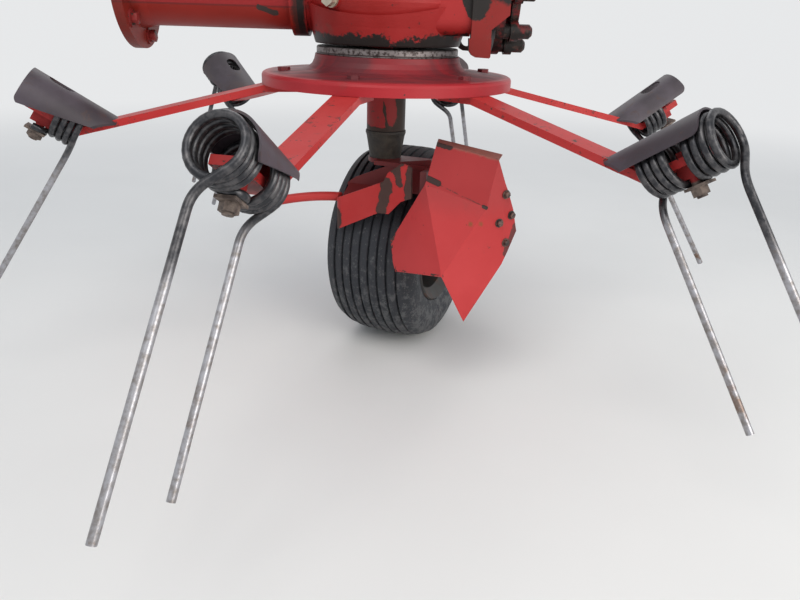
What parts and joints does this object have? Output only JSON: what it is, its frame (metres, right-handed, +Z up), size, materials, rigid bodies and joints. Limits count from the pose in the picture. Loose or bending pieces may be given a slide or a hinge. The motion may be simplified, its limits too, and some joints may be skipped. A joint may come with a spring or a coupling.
{
  "type": "hay tedder rotor unit",
  "caption": "Rotor unit of a hay tedder: frame tube, gear housing, six-armed rotor with double coil tines, wheel on a strut and a folded deflector.",
  "frame": {"origin": "centre of the outer face of the round frame flange", "axes": "+X along the frame tube from the flange to the rotor, +Z up along the rotor axis, +Y away from the picture's side"},
  "size_m": [1.4588, 1.6506, 0.796],
  "materials": {
    "red_paint": "worn gloss paint with chips and stains",
    "cover_paint": "faded matte, brownish",
    "spring_steel": "dark, worn bright on the legs",
    "rusty_steel": "rusty",
    "bare_steel": "worn, greasy in places",
    "greasy_steel": "black grease",
    "zinc_steel": "zinc plated",
    "rim_paint": "worn light paint",
    "tyre_rubber": "black rubber with dust"
  },
  "bodies": {
    "frame": {"frame_tube": "red_paint", "gear_housing": "red_paint", "housing_cap": "red_paint", "oil_plug": "zinc_steel", "hinge_ears": "red_paint", "strut": "red_paint"},
    "drive": {"drive_shaft": "bare_steel", "finger_coupling": "bare_steel"},
    "rotor": {"rotor_disc": "red_paint", "seal_ring": "bare_steel", "arm_1": "red_paint", "arm_2": "red_paint", "arm_3": "red_paint", "arm_4": "red_paint", "arm_5": "red_paint", "arm_6": "red_paint", "tine_1": "spring_steel", "tine_2": "spring_steel", "tine_3": "spring_steel", "tine_4": "spring_steel", "tine_5": "spring_steel", "tine_6": "spring_steel", "clamp_1": "rusty_steel", "clamp_2": "rusty_steel", "clamp_3": "rusty_steel", "clamp_4": "rusty_steel", "clamp_5": "rusty_steel", "clamp_6": "rusty_steel", "cover_1": "cover_paint", "cover_2": "cover_paint", "cover_3": "cover_paint", "cover_4": "cover_paint", "cover_5": "cover_paint", "cover_6": "cover_paint"},
    "carrier": {"swivel_stem": "greasy_steel", "wheel_crown": "red_paint", "axle_leg": "red_paint", "stub_axle": "bare_steel", "deflector_bracket": "red_paint", "deflector": "red_paint", "guard_rod": "red_paint"},
    "wheel": {"tyre": "tyre_rubber", "rim": "rim_paint"}
  },
  "joints": [
    {"name": "rotor_spin", "type": "hinge", "parent": "frame", "child": "rotor", "pos_m": [0.45, 0, -0.138], "axis": [0, 0, 1], "continuous": true},
    {"name": "drive_spin", "type": "hinge", "parent": "frame", "child": "drive", "pos_m": [0.45, 0, 0], "axis": [1, 0, 0], "continuous": true},
    {"name": "wheel_steer", "type": "hinge", "parent": "frame", "child": "carrier", "pos_m": [0.45, 0, -0.138], "axis": [0, 0, 1], "range_deg": [-6, 54]},
    {"name": "wheel_spin", "type": "hinge", "parent": "carrier", "child": "wheel", "pos_m": [0.49352, 0.09775, -0.488], "axis": [0.9135, -0.4067, 0], "continuous": true}
  ],
  "couplings": [
    {"joint": "drive_spin", "follows": "rotor_spin", "ratio": -3}
  ]
}
